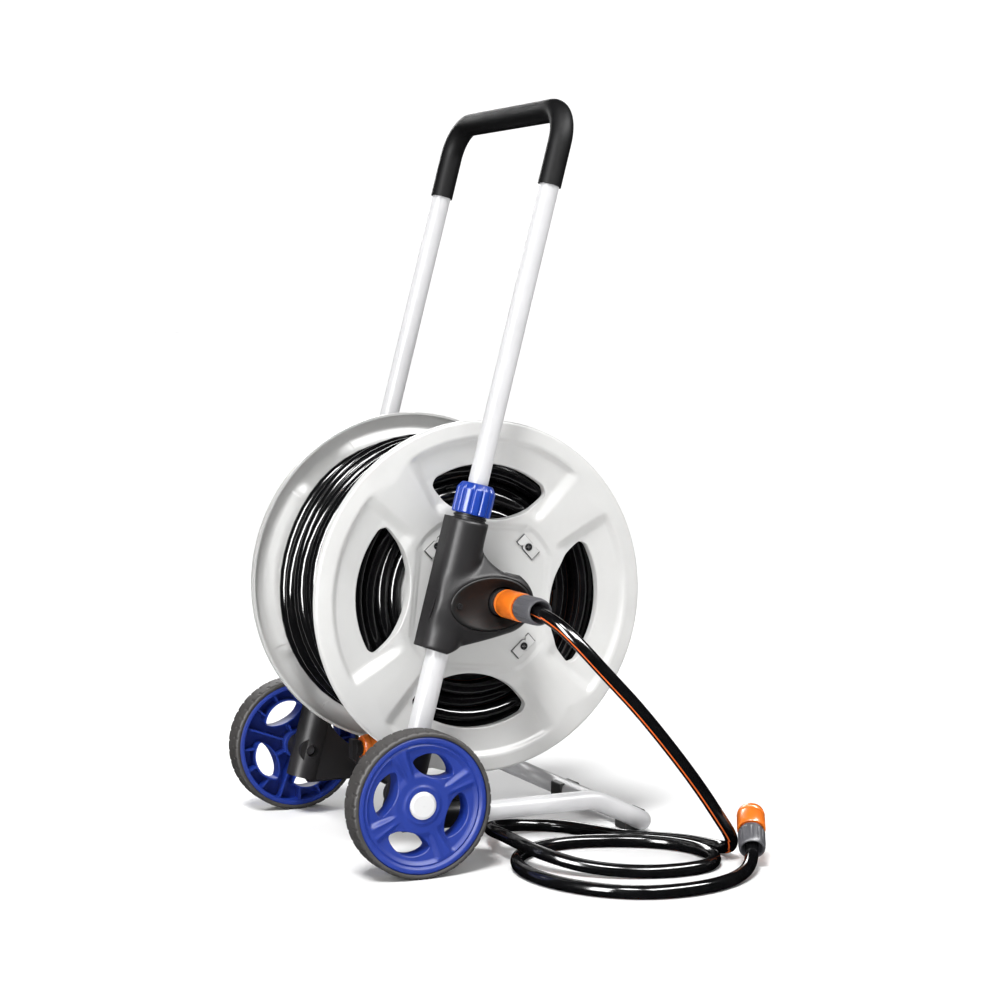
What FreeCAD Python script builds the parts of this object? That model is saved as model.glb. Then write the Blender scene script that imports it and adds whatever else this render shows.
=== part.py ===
import FreeCAD, Part
import math
import os

# Garden hose reel cart, in millimetres. X runs from the wheels to the foot, Y from the
# water inlet side to the crank side, Z up. The pieces are drawn with X = 0 at the wheel
# axle and moved by ORIGIN_SHIFT on export, so that the origin is the middle of the footprint.

# ---- driving dimensions: layout ----
WHEEL_R = 79.3
TRACK_IN = 176.0            # inner face of each wheel, from the middle plane
WHEEL_W = 31.0
WHEEL_TURN = {-1: -20.0, 1: 25.0}
SPOKE_IN = 31.0             # wheel windows: nearest and furthest radius, tips and half length
SPOKE_OUT = 56.0
SPOKE_TIP = 40.0
SPOKE_HALF = 26.0
RIM_R = 74.0
DRUM_X = 113.9
DRUM_Z = 284.7
SIDE_Y = 146.0              # plane of each side's tubes
TILT = math.radians(14.88)  # lean of the handle and side tubes
TUBE_X = 1.8                # side tube axis at axle height
FOOT_X = 314.0              # cross bar of the foot
FOOT_Z = 15.0
FOOT_REAR_Z = 53.2
FOOT_R = 11.0
BEAM_X = 66.0               # cross beam between the axle brackets
BEAM_Z = 62.0
BEAM_R = 10.0
AXLE_PIN_R = 6.0
PAD_HALF = 13.0
PAD_Y = 84.0
ORIGIN_SHIFT = -(FOOT_X + PAD_HALF - WHEEL_R) / 2.0

# ---- driving dimensions: tubes and handle ----
LOWER_R = 12.5
LOWER_BORE = 11.3
HANDLE_R = 11.0
HANDLE_WALL = 1.5
HANDLE_TOP = 768.5          # distance up the tilted line from axle height
HANDLE_FOOT = 245.0
HANDLE_BEND = 38.0
GRIP_R = 13.0
GRIP_END = 681.0
NUT_LOW = 312.0
NUT_TOP = 346.0
NUT_R = 21.5
RUN_FIT = 0.05              # radial clearance of a running fit
GAP = 0.4                   # clearance between parts that move past each other

# ---- driving dimensions: drum ----
FLANGE_R = 196.9
FLANGE_Y = 101.0            # outer face of the flange's flat
FLANGE_T = 2.6
RIM_Y = 107.0
CREST_R = 173.0             # ring where the flange stands furthest out
CREST_Y = 110.0
WINDOW_IN = 86.0            # flange windows: nearest and furthest radius, tips and half length
WINDOW_OUT = 148.0
WINDOW_TIP = 121.0
WINDOW_HALF = 75.0
CLIP_R = 79.0               # circle of the screws that hold the flanges to the core
CLIP_TURN = 42.0
CORE_R = 85.0
CORE_Y = FLANGE_Y - FLANGE_T
PACK_R = 175.0
PACK_Y = 97.0
WINDOW_TURN = -6.0
SHAFT_R = 13.0

# ---- driving dimensions: hose and connectors ----
HOSE_R = 7.25
CONNECTOR_LENGTH = 60.0
SLEEVE_END = 30.0           # how far the release sleeve reaches back from the mouth
HOSE_DEPTH = 20.0           # how far the hose reaches into a nut's mouth
SLEEVE_R = 15.5
RELEASE_STROKE = 4.0
NUT_MOUTH = 253.0           # the inlet nut's open end, from the middle plane
INLET_START = 165.0         # the inlet connector's mouth, on the stem
INLET_SLEEVE_END = 46.0
PARK_X = 34.0               # mouth of the parked outlet connector
PARK_Y = 58.0
PARK_Z = 93.0

# ---- driving dimensions: crank ----
CRANK_R = 105.0
CRANK_TURN = -60.0          # where the crank rests, in degrees from +X

V = FreeCAD.Vector
Y_AXIS = V(0, 1, 0)
SHORT_SHANK = 3.0
LONG_SHANK = 6.6
SCREW_HOLE = 2.05
TILT_DIR = V(math.sin(TILT), 0, math.cos(TILT))
TILT_SIDE = V(math.cos(TILT), 0, -math.sin(TILT))
AXLE = V(0, 0, WHEEL_R)
DRUM = V(DRUM_X, 0, DRUM_Z)


# ---- helpers ----
def rod(start, direction, radius, length):
    return Part.makeCylinder(radius, length, start, direction)


def ring(start, direction, outer, inner, length):
    return rod(start, direction, outer, length).cut(rod(start, direction, inner, length))


def turned(centre, direction, profile):
    """Solid of revolution: profile points are (radius, distance along direction)."""
    points = [V(r, 0, h) for r, h in profile]
    face = Part.Face(Part.makePolygon(points + [points[0]]))
    solid = face.revolve(V(0, 0, 0), V(0, 0, 1), 360)
    placement = FreeCAD.Placement(centre, FreeCAD.Rotation(V(0, 0, 1), direction))
    solid.Placement = placement
    return Part.Solid(solid) if solid.ShapeType == "Shell" else solid


def tube_point(distance, side):
    """Point on a side tube's axis, at a distance up the tilted line from axle height."""
    base = V(TUBE_X, side * SIDE_Y, WHEEL_R)
    return base + TILT_DIR * distance


def plate(points, y_start, thickness):
    """Prism along Y from a list of corner points or (through, end) arcs in the XZ plane."""
    corner = V(points[0][0], y_start, points[0][1])
    here = corner
    edges = []
    for item in points[1:] + [points[0]]:
        if len(item) == 4:
            through = V(item[0], y_start, item[1])
            end = V(item[2], y_start, item[3])
            edges.append(Part.Arc(here, through, end).toShape())
        else:
            end = V(item[0], y_start, item[1])
            edges.append(Part.LineSegment(here, end).toShape())
        here = end
    face = Part.Face(Part.Wire(edges))
    return face.extrude(V(0, thickness, 0))


def lens(centre_x, centre_z, inner_r, outer_r, half_chord, tip_r, angle, y_start, thickness):
    """Lens-shaped cutter across a disc whose axis is Y, at an angle in degrees from +X."""
    left = V(-half_chord, y_start, tip_r)
    right = V(half_chord, y_start, tip_r)
    outer = Part.Arc(left, V(0, y_start, outer_r), right).toShape()
    inner = Part.Arc(right, V(0, y_start, inner_r), left).toShape()
    shape = Part.Face(Part.Wire([outer, inner])).extrude(V(0, thickness, 0))
    shape.rotate(V(0, 0, 0), Y_AXIS, 90 - angle)
    shape.translate(V(centre_x, 0, centre_z))
    return shape


def facing(side):
    """Rotation that stands a piece drawn flat in XY with its back along Z against a side."""
    return FreeCAD.Rotation(V(1, 0, 0), V(0, 0, -side), V(0, side, 0), "XYZ")


def polar(centre, radius, degrees, y):
    a = math.radians(degrees)
    return V(centre.x + radius * math.cos(a), y, centre.z + radius * math.sin(a))


def bent_tube(vertices, bend_radii, outer, inner):
    """Round tube along straight runs joined by tangent arcs."""
    wire = bent_wire(vertices, bend_radii)
    start = vertices[0]
    direction = vertices[1] - vertices[0]
    solids = []
    for radius in (outer, inner):
        if radius > 0:
            circle = Part.Wire([Part.makeCircle(radius, start, direction)])
            solids.append(wire.makePipeShell([circle], True, False))
    if len(solids) == 1:
        return solids[0]
    return solids[0].cut(solids[1])


def bent_wire(vertices, bend_radii):
    edges = []
    here = vertices[0]
    for index, radius in enumerate(bend_radii):
        corner = vertices[index + 1]
        back = (vertices[index] - corner).normalize()
        ahead = (vertices[index + 2] - corner).normalize()
        half_turn = (math.pi - back.getAngle(ahead)) / 2
        reach = radius * math.tan(half_turn)
        first = corner + back * reach
        last = corner + ahead * reach
        middle = (back + ahead).normalize()
        drop = radius / math.cos(half_turn) - radius
        edges.append(Part.LineSegment(here, first).toShape())
        edges.append(Part.Arc(first, corner + middle * drop, last).toShape())
        here = last
    edges.append(Part.LineSegment(here, vertices[-1]).toShape())
    return Part.Wire(edges)


def union(shapes):
    result = shapes[0]
    for shape in shapes[1:]:
        result = result.fuse(shape)
    return result.removeSplitter()


def save(name, shape):
    moved = shape.copy()
    moved.translate(V(ORIGIN_SHIFT, 0, 0))
    if not moved.isValid():
        print("NOT VALID:", name)
    moved.exportStep("parts/" + name + ".step")
    saved[name] = moved


def save_both(name, make):
    for word, side in (("near", -1), ("far", 1)):
        save(name + "_" + word, make(side))


# ---- frame: tubes, foot, axle brackets ----
def lower_tube(side):
    start = tube_point(28, side)
    return ring(start, TILT_DIR, LOWER_R, LOWER_BORE, 280)


def foot_vertices():
    knee = V(236, 0, FOOT_REAR_Z)
    points = []
    for side in (-1, 1):
        y = side * SIDE_Y
        leg = [V(16, y, FOOT_REAR_Z), V(knee.x, y, knee.z), V(FOOT_X, y, FOOT_Z)]
        points += leg if side < 0 else leg[::-1]
    return points


def foot_tube():
    return bent_tube(foot_vertices(), [45, 48, 48, 45], FOOT_R, FOOT_R - 1.5)


def foot_pad(side):
    """Rubber saddle pushed up round the foot's cross bar, flat on the floor."""
    middle = side * PAD_Y
    block = Part.makeBox(2 * PAD_HALF, 26, 24, V(FOOT_X - PAD_HALF, middle - 13, 0))
    block = block.makeFillet(3, [e for e in block.Edges if abs(e.tangentAt(0).y) > 0.9])
    hole = rod(V(FOOT_X, middle - 20, FOOT_Z), Y_AXIS, FOOT_R + 0.05, 40)
    return block.cut(hole)


def axle_bracket(side):
    """Moulded bracket: tilted socket, foot socket, web, axle boss and beam boss."""
    y = side * SIDE_Y
    sleeve = rod(tube_point(-34, side), TILT_DIR, 19.5, 96)
    socket = rod(V(0, y, FOOT_REAR_Z), V(1, 0, 0), 14.5, 92)
    inner = y - side * 16
    web_start = min(inner, inner + side * 8)
    web = plate([(14, 128), (34, 96, 92, 66), (92, 44), (-6, 44), (-12, 52)], web_start, 8)
    spine = plate([(10, 120), (30, 92, 84, 64), (84, 46), (0, 46)], y - 3, 6)
    boss = rod(V(0, y - side * 17, WHEEL_R), V(0, side, 0), 15, 45)
    beam_boss = rod(V(BEAM_X, y - side * 16, BEAM_Z), V(0, side, 0), 15, 16)
    body = union([sleeve, socket, web, spine, boss, beam_boss])
    cutters = [
        rod(tube_point(28, side), TILT_DIR, LOWER_R + 0.05, 60),
        rod(V(16, y, FOOT_REAR_Z), V(1, 0, 0), FOOT_R + 0.05, 90),
        rod(V(0, y - side * 10, WHEEL_R), V(0, side, 0), AXLE_PIN_R + 0.05, 50),
        rod(V(0, y - side * 40, WHEEL_R), V(0, side, 0), 7.2, 33),
        rod(V(BEAM_X, y - side * 40, BEAM_Z), V(0, side, 0), BEAM_R + 0.05, 28.7),
    ]
    for seat, direction, shank in bracket_screw_seats(side):
        cutters.append(rod(seat, direction, SCREW_HOLE, shank + 0.1))
    for cutter in cutters:
        body = body.cut(cutter)
    return body


def stub_axle(side):
    """Steel pin pressed in the bracket's boss, with a groove for the retaining ring."""
    start = V(0, side * 139, WHEEL_R)
    pin = rod(start, V(0, side, 0), AXLE_PIN_R, 64)
    groove = ring(V(0, side * 198.6, WHEEL_R), V(0, side, 0), 8, 5, 1.2)
    return pin.cut(groove)


def axle_rings():
    rings = [ring(V(0, side * 198.7, WHEEL_R), V(0, side, 0), 9.5, 5.05, 1.0) for side in (-1, 1)]
    return Part.makeCompound(rings)


def cross_beam():
    half = 134.6
    return rod(V(BEAM_X, -half, BEAM_Z), Y_AXIS, BEAM_R, 2 * half)


def bracket_screw_seats(side):
    """Seat, direction and shank length of the screws in one axle bracket."""
    inward = V(0, -side, 0)
    tube_seat = tube_point(52, side) + V(0, side * 19.6, 0)
    foot_seat = V(78, side * (SIDE_Y + 14.6), FOOT_REAR_Z)
    return [(tube_seat, inward, LONG_SHANK), (foot_seat, inward, SHORT_SHANK)]


def bracket_screws():
    """Pan-head screws that lock the tubes in the axle brackets."""
    seats = bracket_screw_seats(-1) + bracket_screw_seats(1)
    return Part.makeCompound([screw(seat, way, 4.0, 2.0, 2.4, shank) for seat, way, shank in seats])


def screw(seat, direction, head_r, shank_r, head_height, shank_length):
    head = rod(seat - direction * head_height, direction, head_r, head_height)
    shank = rod(seat, direction, shank_r, shank_length)
    cross_depth = head_height * 0.5
    top = seat - direction * head_height
    across = V(0, 0, 1) if abs(direction.z) < 0.5 else V(1, 0, 0)
    slot = Part.makeBox(head_r * 1.3, 0.8, cross_depth, V(-head_r * 0.65, -0.4, 0))
    slot = slot.fuse(Part.makeBox(0.8, head_r * 1.3, cross_depth, V(-0.4, -head_r * 0.65, 0)))
    slot.Placement = FreeCAD.Placement(top, FreeCAD.Rotation(across, V(0, 0, 0), direction, "ZXY"))
    return head.fuse(shank).removeSplitter().cut(slot)


# ---- hub brackets, which carry the drum and clamp the handle ----
def hub_outline(inset):
    """Corner points of the hub bracket seen from the side, drawn in by an inset."""
    def at(distance, offset):
        point = tube_point(distance, 1) + TILT_SIDE * offset
        return (point.x, point.z)
    boss_r = 34 - inset
    top = polar(DRUM, boss_r, 55, 0)
    middle = polar(DRUM, boss_r, -14, 0)
    low = polar(DRUM, boss_r, -83, 0)
    bottom_left = at(161 + inset, -22 + inset)
    bottom_right = at(159 + inset, 4)
    top_left = at(306 - inset, -22 + inset)
    top_right = at(306 - inset, 21 - inset)
    right = at(284, 21 - inset)
    bend = (104.5 - inset * 0.8, 326 - inset * 0.8)
    return [bottom_left, top_left, top_right, right, (bend[0], bend[1], top.x, top.z),
            (middle.x, middle.z, low.x, low.z), bottom_right]


def hub_bracket(side):
    """Moulded side bracket: tube sleeve, threaded neck and drum bearing boss."""
    inner = SIDE_Y - 18
    steps = [(0.0, 0.0, 31.0), (2.5, 31.0, 3.0), (6.0, 34.0, 2.0)]
    shapes = []
    for inset, start, depth in steps:
        y = side * (inner + start)
        low_y = min(y, y + side * depth)
        shapes.append(plate(hub_outline(inset), low_y, depth))
    shapes.append(rod(tube_point(300, side), TILT_DIR, 17, 28))
    shapes.append(rod(V(DRUM_X, side * (inner - 6), DRUM_Z), V(0, side, 0), 20, 10))
    body = union(shapes)
    cutters = [
        rod(tube_point(150, side), TILT_DIR, LOWER_R + 0.05, 158),
        rod(tube_point(300, side), TILT_DIR, HANDLE_R + 3.05, 40),
        rod(V(DRUM_X, side * 100, DRUM_Z), V(0, side, 0), SHAFT_R + 2.05, 100),
    ]
    for cutter in cutters:
        body = body.cut(cutter)
    pocket = cover_ellipse(side, 48.05, 29.05, 160.9, 20)
    return body.cut(pocket).cut(cover_screw_hole(side))


def cover_ellipse(side, half_long, half_short, start, depth):
    """Oval prism along Y over the drum axis, longer towards the tube."""
    centre = V(DRUM_X - 17.5, side * start, DRUM_Z)
    ellipse = Part.Ellipse(V(0, 0, 0), half_long, half_short).toShape()
    face = Part.Face(Part.Wire([ellipse]))
    solid = face.extrude(V(0, 0, depth))
    solid.Placement = FreeCAD.Placement(centre, facing(side))
    return solid


def hub_cover(side):
    """Oval cover with a funnel that narrows to the shaft."""
    solid = cover_ellipse(side, 48, 29, 161, 8)
    wide = Part.Wire([Part.makeCircle(23, V(DRUM_X - 3, side * 169.01, DRUM_Z), Y_AXIS)])
    narrow = Part.Wire([Part.makeCircle(17.2, V(DRUM_X, side * 160.9, DRUM_Z), Y_AXIS)])
    funnel = Part.makeLoft([wide, narrow], True)
    return solid.cut(funnel).cut(cover_screw_hole(side))


def bearing_bush(side):
    """Flanged bush in the bracket's boss, in which the drum shaft turns."""
    start = V(DRUM_X, side * 123.5, DRUM_Z)
    barrel = ring(start, V(0, side, 0), SHAFT_R + 2, SHAFT_R + RUN_FIT, 36)
    return barrel


def cover_screw_seat(side):
    return V(DRUM_X - 55, side * 169, DRUM_Z)


def cover_screw_hole(side):
    return rod(cover_screw_seat(side), V(0, -side, 0), 1.65, 9)


def cover_screws():
    """One screw in each oval cover, at its end on the tube."""
    seats = [(cover_screw_seat(side), V(0, -side, 0)) for side in (-1, 1)]
    return Part.makeCompound([screw(seat, way, 3.2, 1.6, 1.8, 7.8) for seat, way in seats])


# ---- telescopic handle ----
def handle_vertices(end):
    legs = []
    for side in (-1, 1):
        leg = [tube_point(end, side), tube_point(HANDLE_TOP, side)]
        legs += leg if side < 0 else leg[::-1]
    return legs


def handle_tube():
    bends = [HANDLE_BEND, HANDLE_BEND]
    return bent_tube(handle_vertices(HANDLE_FOOT), bends, HANDLE_R, HANDLE_R - HANDLE_WALL)


def handle_grip():
    bends = [HANDLE_BEND, HANDLE_BEND]
    return bent_tube(handle_vertices(GRIP_END), bends, GRIP_R, HANDLE_R + RUN_FIT)


def guide_bushes():
    """Plug in each handle leg's foot, whose collar slides in the lower tube."""
    collar = LOWER_BORE - RUN_FIT
    plug = HANDLE_R - HANDLE_WALL - 0.05
    profile = [(5, 0), (collar, 0), (collar, 7), (plug, 7), (plug, 24), (5, 24)]
    feet = [tube_point(HANDLE_FOOT - 7.02, side) for side in (-1, 1)]
    return Part.makeCompound([turned(foot, TILT_DIR, profile) for foot in feet])


def clamp_collet(side):
    """Split cone that the nut squeezes onto the handle leg."""
    inside = HANDLE_R + RUN_FIT
    profile = [(inside, 0), (13.9, 0), (13.9, 14), (12.9, 23.5), (inside, 23.5)]
    cone = turned(tube_point(308.2, side), TILT_DIR, profile)
    slot = Part.makeBox(1.6, 30, 40, V(-0.8, 0, 0))
    slot.Placement = FreeCAD.Placement(tube_point(300, side),
                                       FreeCAD.Rotation(V(0, 0, 1), TILT_DIR))
    return cone.cut(slot)


def clamp_nut(side):
    """Fluted nut over the bracket's neck, with a cone that presses the collet."""
    base = tube_point(NUT_LOW, side)
    height = NUT_TOP - NUT_LOW
    bore = HANDLE_R + GAP
    neck = 17 + GAP
    profile = [(neck, 0), (NUT_R, 0), (NUT_R, height - 6), (NUT_R - 4.5, height), (bore, height),
               (bore, 24), (14.4, 18), (14.4, 16.6), (neck, 16.6)]
    nut = turned(base, TILT_DIR, profile)
    for index in range(12):
        turn = math.radians(index * 30)
        away = TILT_SIDE * math.cos(turn) + V(0, 1, 0) * math.sin(turn)
        groove = rod(base + away * (NUT_R + 1.2) - TILT_DIR, TILT_DIR, 2.4, height + 2)
        nut = nut.cut(groove)
    return nut


# ---- wheels ----
def wheel_rim(side):
    """One-piece plastic wheel: rim, dished web with four lens windows, hub, inner ribs."""
    out = V(0, side, 0)
    base = V(0, side * TRACK_IN, WHEEL_R)
    rim = ring(base + out * 1, out, RIM_R, RIM_R - 6, 29)
    lip = ring(base + out * 24, out, RIM_R - 5.5, 60, 6)
    web = ring(base + out * 19, out, RIM_R - 4, 15, 6)
    hub = ring(base + out * 1.5, out, 17.5, AXLE_PIN_R + RUN_FIT, 21)
    collar = ring(base + out * 20, out, 20, 15, 9)
    body = union([rim, lip, web, hub, collar])
    turn = WHEEL_TURN[side]
    wall = 2.5
    for index in range(4):
        angle = 90 + turn + index * 90
        low = min(side * (TRACK_IN + 10), side * (TRACK_IN + 40))
        body = body.cut(lens(0, WHEEL_R, SPOKE_IN, SPOKE_OUT, SPOKE_HALF, SPOKE_TIP, angle, low, 30))
    ribs = []
    for index in range(8):
        rib = Part.makeBox(53, 2.4, 17, V(16, -1.2, 0))
        spin = FreeCAD.Rotation(V(0, 0, 1), -side * (turn + 22.5 + index * 45))
        rib.Placement = FreeCAD.Placement(base + out * 2.5, facing(side).multiply(spin))
        ribs.append(rib)
    for index in range(4):
        angle = 90 + turn + index * 90
        low = min(side * (TRACK_IN + 1), side * (TRACK_IN + 22))
        frame = lens(0, WHEEL_R, SPOKE_IN - wall, SPOKE_OUT + wall, SPOKE_HALF + 3, SPOKE_TIP,
                     angle, low, 21)
        hole = lens(0, WHEEL_R, SPOKE_IN, SPOKE_OUT, SPOKE_HALF, SPOKE_TIP, angle, low, 21)
        ribs = [rib.cut(frame) for rib in ribs]
        ribs.append(frame.cut(hole))
    return union([body] + ribs)


def tyre(side):
    """Rubber ring with shallow tread blocks across its width."""
    out = V(0, side, 0)
    base = V(0, side * TRACK_IN, WHEEL_R)
    bead = RIM_R + 0.05
    shoulder = WHEEL_R - 1.7
    profile = [(bead, 0), (shoulder, 0), (WHEEL_R, 2), (WHEEL_R, WHEEL_W - 2), (shoulder, WHEEL_W),
               (bead, WHEEL_W)]
    solid = turned(base, out, profile)
    cutters = []
    for index in range(36):
        angle = -90 + 5 + index * 10
        centre = polar(AXLE, WHEEL_R, angle, 0)
        low = min(side * (TRACK_IN + 3), side * (TRACK_IN + WHEEL_W - 3))
        box = Part.makeBox(2.4, WHEEL_W - 6, 3.0, V(-1.2, 0, -1.5))
        box.rotate(V(0, 0, 0), Y_AXIS, 90 - angle)
        box.translate(V(centre.x, low, centre.z))
        cutters.append(box)
    return solid.cut(Part.makeCompound(cutters))


def hub_cap(side):
    out = V(0, side, 0)
    base = V(0, side * (TRACK_IN + 25.6), WHEEL_R)
    profile = [(8.0, 0), (14.9, 0), (14.9, 3.4), (12, 5.2), (0, 5.4), (0, 3.6), (8.0, 2.6)]
    return turned(base, out, profile)


# ---- drum ----
def flange(side):
    """Dished disc with a sloped lip, embossed square, four lens windows and a stiff bead."""
    out = V(0, side, 0)
    face_in = FLANGE_Y - FLANGE_T
    edge = FLANGE_R - FLANGE_T
    profile = [(20, face_in), (WINDOW_OUT + 2, face_in), (CREST_R, CREST_Y - 3),
               (edge, RIM_Y - 4), (edge, RIM_Y - 9), (FLANGE_R, RIM_Y - 9),
               (FLANGE_R, RIM_Y - 1.5), (FLANGE_R - 1.5, RIM_Y), (CREST_R, CREST_Y),
               (WINDOW_OUT + 2, FLANGE_Y), (20, FLANGE_Y)]
    disc = turned(DRUM, out, profile)
    for index in range(4):
        angle = 90 + WINDOW_TURN + index * 90
        low = min(side * 90, side * 110)
        disc = disc.cut(lens(DRUM_X, DRUM_Z, WINDOW_IN, WINDOW_OUT, WINDOW_HALF, WINDOW_TIP,
                             angle, low, 20))
    holes = []
    for index in range(4):
        spot = polar(DRUM, CLIP_R, CLIP_TURN + index * 90, side * 90)
        holes.append(rod(spot, out, 2.6, 20))
    return disc.cut(Part.makeCompound(holes))


def drum_core():
    """Barrel that joins the flanges, with an end wall and screw bosses at each end."""
    start = V(DRUM_X, -CORE_Y + 0.05, DRUM_Z)
    length = 2 * CORE_Y - 0.1
    shell = ring(start, Y_AXIS, CORE_R, CORE_R - 3, length)
    parts = [shell]
    for side in (-1, 1):
        out = V(0, side, 0)
        wall_start = V(DRUM_X, side * (CORE_Y - 4.05), DRUM_Z)
        parts.append(ring(wall_start, out, CORE_R - 1, SHAFT_R + 0.05, 4))
        for index in range(4):
            spot = polar(DRUM, CLIP_R, CLIP_TURN + index * 90, side * (CORE_Y - 24.05))
            parts.append(rod(spot, out, 5.5, 24))
    body = union(parts)
    holes = []
    for side in (-1, 1):
        for index in range(4):
            spot = polar(DRUM, CLIP_R, CLIP_TURN + index * 90, side * (CORE_Y - 16))
            holes.append(rod(spot, V(0, side, 0), 2.05, 20))
    body = body.cut(Part.makeCompound(holes))
    return body.cut(rod(V(DRUM_X, -30, DRUM_Z), V(1, 0, 0), 7.6, 100))


def clip_plates():
    """Small plates that spread the load of the flange screws, four on each flange."""
    plates = []
    for side, index in [(s, i) for s in (-1, 1) for i in range(4)]:
        angle = CLIP_TURN + index * 90
        low = min(side * FLANGE_Y, side * (FLANGE_Y + 1.4))
        block = Part.makeBox(27, 1.4, 12, V(-13.5, 0, -6))
        block = block.cut(rod(V(0, -1, 0), Y_AXIS, 2.6, 4))
        block.rotate(V(0, 0, 0), Y_AXIS, 90 - angle + 8)
        spot = polar(DRUM, CLIP_R, angle, low)
        block.translate(V(spot.x, low, spot.z))
        plates.append(block)
    return Part.makeCompound(plates)


def flange_screws():
    screws = []
    for side, index in [(s, i) for s in (-1, 1) for i in range(4)]:
        spot = polar(DRUM, CLIP_R, CLIP_TURN + index * 90, side * (FLANGE_Y + 1.4))
        screws.append(screw(spot, V(0, -side, 0), 4.2, 2.0, 2.2, 18))
    return Part.makeCompound(screws)


def wound_hose():
    start = V(DRUM_X, -PACK_Y, DRUM_Z)
    return ring(start, Y_AXIS, PACK_R, CORE_R + 0.1, 2 * PACK_Y)


def inlet_shaft():
    """Hollow journal of the drum on the water side, with the rotary seal's socket."""
    profile = [(9, -130), (SHAFT_R, -130), (SHAFT_R, -94.3), (20, -94.3), (20, -60), (9, -60)]
    return turned(DRUM, Y_AXIS, profile)


def swivel_elbow():
    """Elbow inside the core that carries the water out to the wound hose."""
    block = ring(V(DRUM_X, -59.9, DRUM_Z), Y_AXIS, 15, 6, 40)
    cap = rod(V(DRUM_X, -22, DRUM_Z), Y_AXIS, 15, 4)
    spout = rod(V(DRUM_X, -30, DRUM_Z), V(1, 0, 0), 7.5, CORE_R - 0.5)
    body = union([block, cap, spout])
    body = body.cut(rod(V(DRUM_X, -30, DRUM_Z), V(1, 0, 0), 5, CORE_R + 10))
    return body


def inlet_stem():
    """Fixed water pipe through the journal, with a nipple outside for the connector."""
    profile = [(5, -184), (7.5, -184), (8.0, -180), (8.0, -174), (6.8, -172), (6.8, -170),
               (8.0, -168), (8.0, -165), (8.95, -164.9), (8.95, -163), (14.9, -163), (14.9, -159.6),
               (8.95, -159.6), (8.95, -74), (7.4, -74), (7.4, -70), (8.95, -70), (8.95, -62), (5, -62)]
    return turned(DRUM, Y_AXIS, profile)


def stem_seal():
    return ring(V(DRUM_X, -73.9, DRUM_Z), Y_AXIS, 8.96, 7.45, 3.8)


def crank_shaft():
    """Solid journal on the crank side, with a square end for the crank arm."""
    journal = rod(V(DRUM_X, 90, DRUM_Z), Y_AXIS, SHAFT_R, 76)
    collar = rod(V(DRUM_X, 84, DRUM_Z), Y_AXIS, 20, 10.3)
    square = Part.makeBox(16, 14, 16, V(DRUM_X - 8, 165, DRUM_Z - 8))
    body = union([journal, collar, square])
    return body.cut(rod(V(DRUM_X, 155, DRUM_Z), Y_AXIS, 2.55, 40))


CRANK_END = polar(DRUM, CRANK_R, CRANK_TURN, 0)


def crank_arm():
    """Flat arm with a boss at each end, on the shaft's square."""
    hub = rod(V(DRUM_X, 170.5, DRUM_Z), Y_AXIS, 18, 11)
    tip = rod(V(CRANK_END.x, 173, CRANK_END.z), Y_AXIS, 12, 8)
    bar = Part.makeBox(CRANK_R, 7, 16, V(0, 0, -8))
    bar.rotate(V(0, 0, 0), Y_AXIS, -CRANK_TURN)
    bar.translate(V(DRUM_X, 173.5, DRUM_Z))
    body = union([hub, tip, bar])
    body = body.cut(Part.makeBox(16.1, 14, 16.1, V(DRUM_X - 8.05, 168, DRUM_Z - 8.05)))
    return body.cut(rod(V(CRANK_END.x, 170, CRANK_END.z), Y_AXIS, 4.05, 20))


def crank_bolt():
    seat = V(DRUM_X, 181.6, DRUM_Z)
    washer = ring(seat, Y_AXIS, 14, 2.6, 1.5)
    bolt = screw(seat + V(0, 1.5, 0), V(0, -1, 0), 5.5, 2.5, 4.0, 22)
    return washer.fuse(bolt).removeSplitter()


def knob_pin():
    """Headed pin riveted in the arm, on which the knob spins."""
    pin = rod(V(CRANK_END.x, 173, CRANK_END.z), Y_AXIS, 4, 76)
    head = rod(V(CRANK_END.x, 246, CRANK_END.z), Y_AXIS, 6.5, 3)
    return union([pin, head])


def crank_knob():
    end = V(CRANK_END.x, 0, CRANK_END.z)
    profile = [(4 + RUN_FIT, 181.6), (12, 181.6), (14, 186), (12.5, 205), (14.5, 236),
               (13.5, 248), (9, NUT_MOUTH), (7, NUT_MOUTH), (7, 245.6), (4 + RUN_FIT, 245.6)]
    return turned(end, Y_AXIS, profile)


# ---- quick connectors ----
def connector_core(mouth, direction, length):
    """Inner body: socket for a nipple at the front, barb for the hose at the back."""
    profile = [(8.1, 0), (12.2, 0), (12.2, 20), (13.2, 20), (13.2, 22), (12.2, 22),
               (12.2, length - 26), (7.0, length - 26), (7.0, length - 20), (4.5, length - 20),
               (4.5, 22), (8.1, 20)]
    return turned(mouth, direction, profile)


def release_sleeve(mouth, direction, end):
    """Orange sleeve that slides back over the core to free the nipple."""
    profile = [(12.2 + RUN_FIT, 2), (14.0, 2), (SLEEVE_R, 6), (SLEEVE_R + 0.4, end - 3), (SLEEVE_R, end),
               (13.2 + RUN_FIT, end), (13.2 + RUN_FIT, 15.4), (12.2 + RUN_FIT, 15.4)]
    return turned(mouth, direction, profile)


def hose_nut(mouth, direction, sleeve_end, length):
    """Grey nut with a flared mouth, which clamps the hose on the barb."""
    neck_start = sleeve_end - 3
    body_start = sleeve_end + RELEASE_STROKE + GAP
    profile = [(12.25, neck_start), (12.9, neck_start), (12.9, body_start), (14.6, body_start),
               (14.6, length - 10), (13.6, length), (11.8, length), (9.4, length - 16),
               (7.4, length - 20), (7.4, length - 25.9), (12.25, length - 25.9)]
    return turned(mouth, direction, profile)


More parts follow.
